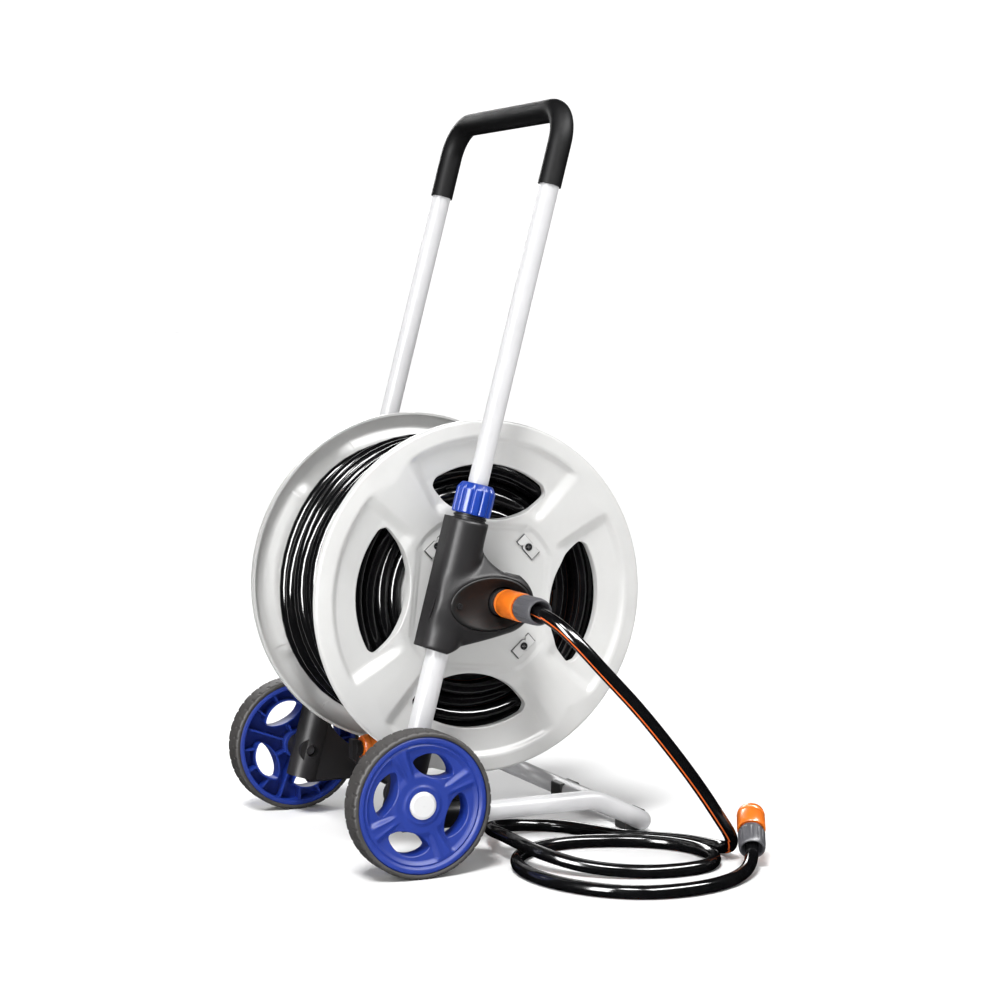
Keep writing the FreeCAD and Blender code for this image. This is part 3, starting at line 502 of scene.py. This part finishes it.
def windowed_disc(shape, centre, side, turn, lens, start_r, marks, edge, front, back, wall_end,
                  steps=(40, 16), inner_steps=40):
    """Moulded disc about Y. front and back give the distance out at (radius, quarter angle, quarter);
    marks are radii that the outer rings follow, edge the (radius, out) points round the rim."""
    wall = 1.8
    round_off = ((1.2, 0.0), (0.35, 0.35), (0.0, 1.2))
    for quarter in range(4):
        columns = []
        openings = []
        for angle in lens.angles(*steps):
            low, high = lens.reach(angle)
            is_open = abs(angle) <= lens.end + 1e-9
            openings.append(is_open)
            bearing = math.radians(90 + turn + quarter * 90) - angle

            def at(radius, out):
                return (centre.x + radius * math.cos(bearing), side * out,
                        centre.z + radius * math.sin(bearing))

            def face(radius):
                return front(radius, angle, quarter)

            inner = []
            for i in range(inner_steps + 1):
                radius = start_r + (low - 1.2 - start_r) * i / inner_steps
                inner.append(at(radius, face(radius)))
            outer = []
            limits = [high + 1.2] + list(marks)
            for first, last in zip(limits, limits[1:]):
                count = max(2, round(abs(last - first) / 2.2)) if first != limits[0] else 14
                for i in range(count):
                    radius = first + (last - first) * i / count
                    outer.append(at(radius, face(radius)))
            outer.append(at(limits[-1], face(limits[-1])))
            lip_low, lip_high = face(low), face(high)
            inner_wall = [at(low - dr, lip_low - dy) for dr, dy in round_off]
            outer_wall = [at(high + dr, lip_high - dy) for dr, dy in round_off]
            inner_wall += [at(low, wall_end), at(low - wall, wall_end), at(low - wall, back(low, angle))]
            outer_wall += [at(high, wall_end), at(high + wall, wall_end), at(high + wall, back(high, angle))]
            inner_back = [at(start_r + (low - wall - start_r) * (1 - i / 12),
                             back(start_r + (low - wall - start_r) * (1 - i / 12), angle))
                          for i in range(13)]
            rim = [at(radius, out) for radius, out in edge]
            last_r = edge[-1][0]
            outer_back = [at(last_r + (high + wall - last_r) * i / 8,
                             back(last_r + (high + wall - last_r) * i / 8, angle)) for i in range(9)]
            columns.append((inner, inner_wall, inner_back, outer, outer_wall, outer_back, rim))
        both_open = [a and b for a, b in zip(openings, openings[1:])]

        def part(pick):
            return [pick(column) for column in columns]

        shape.grid(part(lambda c: c[0]))
        shape.grid(part(lambda c: [c[0][-1]] + c[1] + [c[2][0]]), keep=lambda i, j: both_open[i])
        shape.grid(part(lambda c: c[2] + [c[0][0]]))
        shape.grid(part(lambda c: c[3] + c[6] + [c[5][0]]))
        shape.grid(part(lambda c: [c[3][0]] + c[4] + [c[5][-1]]), keep=lambda i, j: both_open[i])
        shape.grid(part(lambda c: c[5]))
        shape.grid(part(lambda c: [c[0][-1], c[3][0]]), keep=lambda i, j: not both_open[i])
        shape.grid(part(lambda c: [c[2][0], c[5][-1]]), keep=lambda i, j: not both_open[i])


# ---- drum flanges ----
FLANGE_LENS = Lens(near=86, far=148, tip=121, half=75)
FLANGE_TURN = -6
FLANGE_BORE = 20.5
FLANGE_SKIN = 2.6
WINDOW_EDGE = 146.0
WINDOW_WALL_END = 90.5
RIM_DEPTH = 9
FLANGE_FACE = 101.0
RIM_OUT = 107.0
CREST_OUT = 110.0
CREST_R = 174.0
SQUARE_HALF = 77.0
SQUARE_ROUND = 17.0


def square_distance(a, b, half, rounding):
    """Distance outside a rounded square's edge, negative inside."""
    x = abs(a) - half + rounding
    y = abs(b) - half + rounding
    return math.hypot(max(x, 0), max(y, 0)) + min(max(x, y), 0) - rounding


def flange_front(radius, angle, quarter):
    """Sunk middle square, shelf round it, four raised arms, sunk panels and a sloped outer lip."""
    a = radius * math.sin(angle)
    b = radius * math.cos(angle)
    outside = square_distance(a, b, SQUARE_HALF, SQUARE_ROUND)
    shelf = 1.2 * soft(outside, -1.5, 1.5) + 1.3 * soft(outside, 3.0, 6.5)
    spread = abs(math.degrees(angle))
    lip_r = CREST_R + 5 - 11 * ramp(spread, 35.5, 45)
    climb = (CREST_OUT - FLANGE_FACE - 2.5) * ramp(radius, 96, lip_r - 2)
    arm = 2.5 + climb
    panel = -1.5 + 4.5 * ramp(radius, WINDOW_EDGE, CREST_R)
    panel += (CREST_OUT - FLANGE_FACE - 3.0) * ramp(radius, CREST_R, CREST_R + 4)
    in_panel = (1 - ramp(spread, 32.5, 36.5)) * ramp(radius, 104, 116)
    body = shelf if radius < 96 else max(shelf, 2.5)
    height = arm * (1 - in_panel) + panel * in_panel if radius > 96 else body
    if radius > lip_r:
        crest = CREST_OUT - FLANGE_FACE
        height = crest - (crest - (RIM_OUT - FLANGE_FACE)) * ramp(radius, lip_r, FLANGE_R)
    return FLANGE_FACE + height


def flange_back(radius, angle):
    return flange_front(radius, angle, 0) - FLANGE_SKIN


def flanges():
    for word, side in SIDES:
        shape = Shape()
        edge = [(FLANGE_R, RIM_OUT - 1.2), (FLANGE_R, RIM_OUT - RIM_DEPTH),
                (FLANGE_R - FLANGE_SKIN, RIM_OUT - RIM_DEPTH)]
        marks = [167, 174, 179.5, FLANGE_R - 1.2]
        windowed_disc(shape, DRUM, side, FLANGE_TURN, FLANGE_LENS, FLANGE_BORE, marks, edge,
                      flange_front, flange_back, WINDOW_WALL_END, inner_steps=46)
        shape.piece("flange_shell_" + word, "drum", "flange_grey", [FLANGE], ["flange_" + word], sharp=50)


# ---- clip plates on the flanges ----
CLIP_R = 79.0
CLIP_BEARING = 42


def clip_plates():
    """Small plate with a rounded thumb notch, four to a flange, each over a slightly larger black copy whose
    rim is painted shade round the plate.
    """
    outline = [(-13.4, -5.8), (-9.0, -5.8), (-6.4, -3.6), (-3.2, -5.8), (13.4, -5.8), (13.4, 5.8),
               (6.4, 5.8), (3.8, 3.6), (1.2, 5.8), (-13.4, 5.8)]
    plates = Shape()
    # Black copies, a little larger and lower than the plates: painted shade in the gap round each plate.
    gap_shade = Shape()
    for word, side in SIDES:
        for index in range(4):
            bearing = math.radians(CLIP_BEARING + 90 * index)
            out = Vector((math.cos(bearing), 0, math.sin(bearing)))
            along = Vector((math.sin(bearing), 0, -math.cos(bearing)))
            centre = DRUM + out * CLIP_R
            for shape, grow, top in ((plates, 1.0, 2.5), (gap_shade, 1.07, 1.9)):
                rows = []
                for inset, height in ((1.0, 0.2), (1.0, top - 0.3), (0.96, top)):
                    rows.append([centre + along * (a * grow * inset) + out * (b * (grow + 0.05) * inset)
                                 + ACROSS * (side * (FLANGE_FACE + height)) for a, b in outline])
                shape.grid(rows, wrap=True)
                shape.fan(rows[-1], centre + ACROSS * (side * (FLANGE_FACE + top)))
                shape.fan(rows[0], centre + ACROSS * (side * (FLANGE_FACE + 0.2)))
    plates.piece("clip_plate_set", "drum", "flange_grey", [FLANGE], ["clip_plates"])
    # The black rim that shows round each plate is painted shade.
    gap_shade.piece("clip_gap_shade_set", "drum", "fitting_black", [FITTING])


# ---- hose wound on the drum ----
LAYERS = 6
WRAPS = 12
LOOSE_WRAPS = 8
TURN_STEPS = 56
WANDER_ALONG = 8.0
WANDER_OUT = 3.0


def wound_hose():
    """One hose wound to and fro in layers. It wanders a little, and most in the loose outer layer."""
    pitch = 2 * HOSE_R + 0.2
    reach = (WRAPS - 1) * pitch / 2
    first_r = CORE_R + HOSE_R + 0.4
    last_r = PACK_R - HOSE_R - 1.5
    rise = (last_r - first_r) / (LAYERS - 1)
    path = []
    outward = []
    places = []
    for layer in range(LAYERS):
        wraps = WRAPS - 1 if layer < LAYERS - 1 else LOOSE_WRAPS
        places += [(layer, step / (wraps * TURN_STEPS)) for step in range(wraps * TURN_STEPS)]
    for index, (layer, within) in enumerate(places):
        turns = index / TURN_STEPS
        angle = 2 * math.pi * turns
        level = layer + soft(within, 0.0, 0.05) - 1 if layer else 0
        along = reach * (2 * within - 1) * (1 if layer % 2 == 0 else -1)
        loose = 0.2 + 0.3 * level / (LAYERS - 1) + 0.9 * soft(level, LAYERS - 2, LAYERS - 1)
        place = Vector((math.cos(angle) * 0.9, math.sin(angle) * 0.9, turns * 0.55))
        along += WANDER_ALONG * loose * noise.noise(place)
        along = max(-reach - 1.5, min(reach + 1.5, along))
        lift = noise.noise(place * 1.2 + Vector((7.0, 3.0, 11.0)))
        radius = min(first_r + rise * level + WANDER_OUT * loose * lift, last_r + 1.5)
        out = Vector((math.cos(angle), 0, math.sin(angle)))
        outward.append(out)
        path.append(DRUM + out * radius + ACROSS * along)

    def stripe(index):
        swing = 1.1 if places[index][0] < LAYERS - 1 else 7.0
        lean = swing * noise.noise(Vector((index / (4.0 * TURN_STEPS), 4.0, 1.0))) + 0.8
        return ACROSS * math.sin(lean) - outward[index] * math.cos(lean)

    shape = Shape()
    shape.tube(path, HOSE_R - 0.1, 18, guide=lambda i: outward[i], stripe=stripe)
    shape.piece("hose_winding", "drum", "hose_black", [HOSE, STRIPE], ["wound_hose"], sharp=60)


# ---- wheels ----
WHEEL_LENS = Lens(near=31, far=56, tip=40, half=26)
WHEEL_TURN = {-1: -20, 1: 25}
WHEEL_FACE = 206.0
TRACK_IN = 176.0
WHEEL_BACK = 19.0
ARM_FACE = 26.2
# Stretches of the ribs on the inside of a wheel, by the rib's place in its quarter.
WHEEL_RIBS = [[(17, 29.5), (57.5, 68.5)], [(54.5, 68.5)], [(17, 68.5)], [(54.5, 68.5)]]
RIB_HALF = 1.1


def wheel_front(radius, angle, quarter):
    """Raised rim, ring groove, sunk panels round the windows, arms with a bead, hub ring."""
    spread = abs(math.degrees(angle))
    rim = 30.0 - 1.2 * ramp(radius, 72.2, 74)
    groove = 28.2
    arm = ARM_FACE + 1.6 * ramp(radius, 40, 58)
    panel = 23.6 + 1.6 * ramp(radius, 50, 62)
    in_panel = 1 - ramp(spread, 34, 38.5)
    bead = 0.9 * math.exp(-((spread - 40.0) / 1.8) ** 2) * ramp(radius, 34, 40)
    body = arm * (1 - in_panel) + panel * in_panel + bead
    hub = 27.4 - 1.2 * ramp(radius, 20.0, 23.0)
    if radius < 30:
        body = hub + 0.8 * math.exp(-((radius - 19.0) / 1.4) ** 2)
    elif radius < 36:
        body = ARM_FACE + (body - ARM_FACE) * ramp(radius, 30, 36)
    height = body + (groove - body) * soft(radius, 60.5, 63.5)
    height -= 1.0 * math.exp(-((radius - 66.0) / 0.8) ** 2)
    height += (rim - groove) * soft(radius, 66.5, 69.0)
    return TRACK_IN + height


def wheel_back(radius, angle):
    return TRACK_IN + WHEEL_BACK


def wheels():
    for word, side in SIDES:
        out = Vector((0, side, 0))
        turn = WHEEL_TURN[side]
        shape = Shape()
        edge = [(74, WHEEL_FACE - 2.4), (74, TRACK_IN + 1.6), (73.2, TRACK_IN + 0.8), (68.6, TRACK_IN + 0.8),
                (68, TRACK_IN + 1.6), (68, TRACK_IN + WHEEL_BACK)]
        windowed_disc(shape, AXLE, side, turn, WHEEL_LENS, 15.1, [60, 64, 68, 70, 73.2], edge,
                      wheel_front, wheel_back, TRACK_IN + 3, steps=(36, 12), inner_steps=16)
        shape.turned([(6.1, 1.6), (16.9, 1.6), (17.5, 2.4), (17.5, 20), (15.1, 24), (6.1, 22)],
                     AXLE + out * TRACK_IN, out, 48)
        for index in range(16):
            bearing = math.radians(90 + turn + index * 22.5)
            along = Vector((math.cos(bearing), 0, math.sin(bearing)))
            aside = Vector((-math.sin(bearing), 0, math.cos(bearing)))
            for first, last in WHEEL_RIBS[index % 4]:
                corner = AXLE + along * first - aside * RIB_HALF + out * (TRACK_IN + 4.5)
                shape.block(corner, along * (last - first), aside * (2 * RIB_HALF), out * 15.0)
        shape.piece("wheel_shell_" + word, "wheel_" + word, "wheel_blue", [WHEEL_BLUE],
                    ["wheel_rim_" + word], sharp=50)


TREAD_BLOCKS = 40
TREAD_GAP = 0.16
TREAD_CUT = 0.9


def tread(angle, radius, height):
    """Blocks cut into both shoulders of the tread, set against each other."""
    if radius < WHEEL_R - 1.2:
        return 0.0
    shoulder = height < 11.5 or height > 19.5
    shift = 0.5 if height > 15.5 else 0.0
    place = (angle / (2 * math.pi) * TREAD_BLOCKS + shift) % 1.0
    return -TREAD_CUT if shoulder and place < TREAD_GAP else 0.0


def tyres():
    for word, side in SIDES:
        out = Vector((0, side, 0))
        shape = Shape()
        profile = [(74.05, 0.6), (75.5, 0.1), (77.4, 0.2), (78.7, 1.2), (WHEEL_R, 3.0)]
        profile += [(WHEEL_R, h) for h in (5.5, 8.5, 11.4, 11.6, 15.4, 15.6, 19.4, 19.6, 22.5, 25.5)]
        profile += [(WHEEL_R, 28.0), (78.7, 29.8), (77.4, 30.8), (75.5, 30.9), (74.05, 30.4)]
        shape.turned(profile, AXLE + out * TRACK_IN, out, 480, wave=tread)
        shape.piece("tyre_shell_" + word, "wheel_" + word, "tyre", [TYRE], ["tyre_" + word], sharp=50)


# ---- hub brackets ----
BRACKET_IN = 128.0
BOSS_OUT = 169.5
BOSS_SLOPE = 27.0
WELL_FLOOR = 158
NECK_START = 304
OVAL_SHIFT = -17.5
OVAL_LONG = 49.0
OVAL_SHORT = 30.0
SLEEVE_LOW = 161
SLEEVE_TOP = 306
SLEEVE_CROWN = 21.0
SLEEVE_R = 23.2
BOSS_R = 35


def tube_point(distance, offset=0.0):
    point = TUBE_BASE + TILT_DIR * distance + TILT_SIDE * offset
    return Vector((point.x, point.z))


def hub_point(radius, degrees):
    a = math.radians(degrees)
    return Vector((DRUM.x + radius * math.cos(a), DRUM.z + radius * math.sin(a)))


def arc(first, through, last, steps):
    """Points from first towards last along the circle through three points, last left out."""
    ax, ay = first
    bx, by = through
    cx, cy = last
    d = 2 * (ax * (by - cy) + bx * (cy - ay) + cx * (ay - by))
    ux = ((ax * ax + ay * ay) * (by - cy) + (bx * bx + by * by) * (cy - ay)
          + (cx * cx + cy * cy) * (ay - by)) / d
    uy = ((ax * ax + ay * ay) * (cx - bx) + (bx * bx + by * by) * (ax - cx)
          + (cx * cx + cy * cy) * (bx - ax)) / d
    centre = Vector((ux, uy))
    start = math.atan2(ay - uy, ax - ux)
    mid = (math.atan2(by - uy, bx - ux) - start) % (2 * math.pi)
    end = (math.atan2(cy - uy, cx - ux) - start) % (2 * math.pi)
    if mid > end:
        end -= 2 * math.pi
    radius = (first - centre).length
    return [centre + Vector((math.cos(start + end * i / steps), math.sin(start + end * i / steps))) * radius
            for i in range(steps)]


def line(first, last, gap=2.5):
    count = max(1, round((last - first).length / gap))
    return [first.lerp(last, i / count) for i in range(count)]


def bracket_outline():
    """Side view of the hub bracket: tilted sleeve with a boss that grows out of it."""
    low_left = tube_point(SLEEVE_LOW, -22)
    top_left = tube_point(SLEEVE_TOP, -22)
    top_right = tube_point(SLEEVE_TOP, 21)
    waist = tube_point(284, 21)
    bend = Vector((DRUM.x - 9.4, DRUM.z + 41.3))
    boss_top = hub_point(BOSS_R, 55)
    boss_mid = hub_point(BOSS_R, -14)
    boss_low = hub_point(BOSS_R, -83)
    low_right = tube_point(159, 4)
    return (line(low_left, top_left) + line(top_left, top_right) + line(top_right, waist)
            + arc(waist, bend, boss_top, 20) + arc(boss_top, boss_mid, boss_low, 40)
            + line(boss_low, low_right) + line(low_right, low_left))


def oval(scale, count=72):
    centre = Vector((DRUM.x + OVAL_SHIFT, DRUM.z))
    return [centre + Vector((OVAL_LONG * scale * math.cos(2 * math.pi * i / count),
                             OVAL_SHORT * scale * math.sin(2 * math.pi * i / count)))
            for i in range(count)]


def oval_measure(point):
    return math.hypot((point.x - DRUM.x - OVAL_SHIFT) / OVAL_LONG, (point.y - DRUM.z) / OVAL_SHORT)


def edge_distance(point, loop):
    best = 1e9
    for a, b in zip(loop, loop[1:] + loop[:1]):
        span = b - a
        t = max(0.0, min(1.0, (point - a).dot(span) / span.length_squared))
        best = min(best, (a + span * t - point).length)
    return best


def inside(point, loop):
    """Whether a point is within a closed outline."""
    hit = False
    for a, b in zip(loop, loop[1:] + loop[:1]):
        if (a.y > point.y) != (b.y > point.y):
            if point.x < (b.x - a.x) * (point.y - a.y) / (b.y - a.y) + a.x:
                hit = not hit
    return hit


def bracket_height(point, loop):
    """Rounded sleeve along the tube and a boss round the oval cover, with a soft valley between."""
    away = Vector((point.x - TUBE_BASE.x, point.y - TUBE_BASE.z))
    offset = away.dot(Vector((TILT_SIDE.x, TILT_SIDE.z)))
    sleeve = SIDE_Y + SLEEVE_CROWN * math.sqrt(max(0.04, 1 - (offset / SLEEVE_R) ** 2)) - 0.6
    measure = oval_measure(point)
    boss = BOSS_OUT - BOSS_SLOPE * max(0.0, measure - 1.04)
    floor = SIDE_Y + 3.0
    low, high = sorted((max(sleeve, floor), max(boss, floor)))
    blend = 6.0
    gap = max(0.0, blend - (high - low)) / blend
    height = high + gap * gap * blend / 4
    distance = edge_distance(point, loop)
    rounding = 4.5
    if distance < rounding:
        height -= rounding - math.sqrt(max(0.0, rounding ** 2 - (rounding - distance) ** 2))
    return height


def hub_brackets():
    loop = bracket_outline()
    hole = oval(1.0)
    xs = [p.x for p in loop]
    zs = [p.y for p in loop]
    gap = 2.3
    seeds = list(loop)
    for scale in (0.6, 1.6, 3.0, 4.6):
        inset = []
        for index, point in enumerate(loop):
            ahead = (loop[(index + 1) % len(loop)] - loop[index - 1]).normalized()
            candidate = point + Vector((ahead.y, -ahead.x)) * scale
            if abs(edge_distance(candidate, loop) - scale) < 0.25:
                inset.append(candidate)
        seeds += inset
    for i in range(int((max(xs) - min(xs)) / gap) + 1):
        for j in range(int((max(zs) - min(zs)) / gap) + 1):
            point = Vector((min(xs) + i * gap + (j % 2) * gap / 2, min(zs) + j * gap))
            if inside(point, loop) and edge_distance(point, loop) > 5.5 and oval_measure(point) > 1.05:
                seeds.append(point)
    seeds += oval(1.03)
    start = len(seeds)
    seeds += hole
    edges = [(i, (i + 1) % len(loop)) for i in range(len(loop))]
    edges += [(start + i, start + (i + 1) % len(hole)) for i in range(len(hole))]
    points, _, faces, *_ = delaunay_2d_cdt(seeds, edges, [], 0, 1e-4)
    heights = [bracket_height(p, loop) for p in points]
    kept = []
    for face in faces:
        middle_point = sum((points[i] for i in face), Vector((0, 0))) / len(face)
        if inside(middle_point, loop) and oval_measure(middle_point) > 0.999:
            kept.append(face)
    for word, side in SIDES:
        shape = Shape()
        shape.points = [Vector((p.x, side * h, p.y)) for p, h in zip(points, heights)]
        shape.faces = [tuple(f) for f in kept]
        shape.slots = [0] * len(kept)
        rim = [(p, bracket_height(p, loop)) for p in loop]
        shape.grid([[(p.x, side * h, p.y) for p, h in rim],
                    [(p.x, side * (BRACKET_IN + 8), p.y) for p, _ in rim],
                    [(p.x, side * BRACKET_IN, p.y) for p, _ in rim]], wrap=True)
        well = [(p, bracket_height(p, loop)) for p in hole]
        shape.grid([[(p.x, side * h, p.y) for p, h in well],
                    [(p.x, side * WELL_FLOOR, p.y) for p, _ in well]], wrap=True)
        back_points, _, back_faces, *_ = delaunay_2d_cdt(loop, edges[:len(loop)], [], 1, 1e-4)
        first = len(shape.points)
        shape.points += [Vector((p.x, side * BRACKET_IN, p.y)) for p in back_points]
        shape.faces += [tuple(first + i for i in f) for f in back_faces]
        shape.slots += [0] * len(back_faces)
        shape.piece("hub_bracket_shell_" + word, "frame", "moulded_charcoal", [CHARCOAL],
                    ["hub_bracket_" + word], sharp=50)
        neck_shape(word, side)


def neck_shape(word, side):
    """Threaded neck between the bracket and the clamp nut, with two raised rings."""
    base = TUBE_BASE + TILT_DIR * NECK_START + ACROSS * (side * SIDE_Y)
    shape = Shape()
    shape.turned([(12.6, 0), (18.6, 0), (18.6, 2.4), (17.2, 2.9), (17.2, 4.0), (18.3, 4.5), (18.3, 6.2),
                  (17.0, 6.8), (17.0, 20), (12.6, 20)], base, TILT_DIR, 72)
    shape.piece("bracket_neck_" + word, "frame", "moulded_charcoal", [CHARCOAL])


COVER_BACK = 160
COVER_FACE = 170.2
COVER_HOLE_R = 17.6
SCOOP = 9.5
SCOOP_STEPS = 14


def shaft_edge(point):
    """Point of the cover's shaft hole that faces the given one."""
    hub = Vector((DRUM.x, DRUM.z))
    bearing = math.atan2((point - hub).y, (point - hub).x)
    return hub + Vector((math.cos(bearing), math.sin(bearing))) * COVER_HOLE_R


def hub_covers():
    """Oval cover whose face falls away in a scoop to the shaft."""
    lip = oval(0.92)
    for word, side in SIDES:
        shape = Shape()
        rows = []
        for scale, out in ((0.985, COVER_BACK), (0.985, 169.0), (0.955, 170.0), (0.92, COVER_FACE)):
            rows.append([(p.x, side * out, p.y) for p in oval(scale)])
        for step in range(1, SCOOP_STEPS + 1):
            t = step / SCOOP_STEPS
            drop = SCOOP * soft(t, -0.25, 1.0) - SCOOP * soft(0, -0.25, 1.0)
            row = [p.lerp(shaft_edge(p), t) for p in lip]
            rows.append([(q.x, side * (COVER_FACE - drop * 1.15), q.y) for q in row])
        rows.append([(q.x, side * COVER_BACK, q.y) for q in map(shaft_edge, lip)])
        shape.grid(rows, wrap=True)
        shape.piece("hub_cover_shell_" + word, "frame", "moulded_charcoal", [COVER],
                    ["hub_cover_" + word], sharp=55)


# ---- clamp nuts ----
CLAMP_NUT_START = 312
CLAMP_FLUTES = 12


def clamp_nuts():
    height = 34.0

    def flutes(angle, radius, along):
        if radius < 17.5 or along > height - 1.5:
            return 0.0
        place = (angle / (2 * math.pi) * CLAMP_FLUTES) % 1.0 - 0.5
        return -1.9 * math.exp(-(place / 0.13) ** 2)

    for word, side in SIDES:
        base = TUBE_BASE + TILT_DIR * CLAMP_NUT_START + ACROSS * (side * SIDE_Y)
        shape = Shape()
        shape.turned([(17.4, 0), (20.6, 0), (21.3, 0.7), (21.5, 1.8), (21.5, 10), (21.5, 20), (21.5, 26.0),
                      (21.2, 27.6), (20.4, 28.6), (17.6, 33.0), (16.4, 33.8), (15.0, 34.0), (11.5, 34.0),
                      (11.5, 24), (17.4, 20)], base, TILT_DIR, 216, wave=flutes)
        shape.piece("clamp_nut_shell_" + word, "clamp_nut_" + word + "_body", "nut_blue", [NUT_BLUE],
                    ["clamp_nut_" + word], sharp=50)


camera()
studio()
finish_nodes()

TAP_LAST = Vector(FEED_ROUTE[-1]) / MM
TAP_AXIS = (Vector(FEED_ROUTE[-1]) - Vector(FEED_ROUTE[-2])).normalized()
TAP_MOUTH = TAP_LAST + TAP_AXIS * (HOSE_END_LENGTH - TAP_NUT_DEPTH)
connector("inlet", INLET_MOUTH, -ACROSS, INLET_SLEEVE, INLET_LENGTH, "inlet_release")
tap_pieces = connector("tap", TAP_MOUTH, -TAP_AXIS, HOSE_END_SLEEVE, HOSE_END_LENGTH, "tap_release")
outlet_low, outlet_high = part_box("outlet_connector")
OUTLET_MOUTH = Vector((outlet_low.x, (outlet_low.y + outlet_high.y) / 2,
                       (outlet_low.z + outlet_high.z) / 2)) / MM
connector("outlet", OUTLET_MOUTH, Vector((1, 0, 0)), HOSE_END_SLEEVE, HOSE_END_LENGTH, "outlet_release")
feed_hose()
flanges()
clip_plates()
wound_hose()
wheels()
tyres()
hub_brackets()
hub_covers()
clamp_nuts()
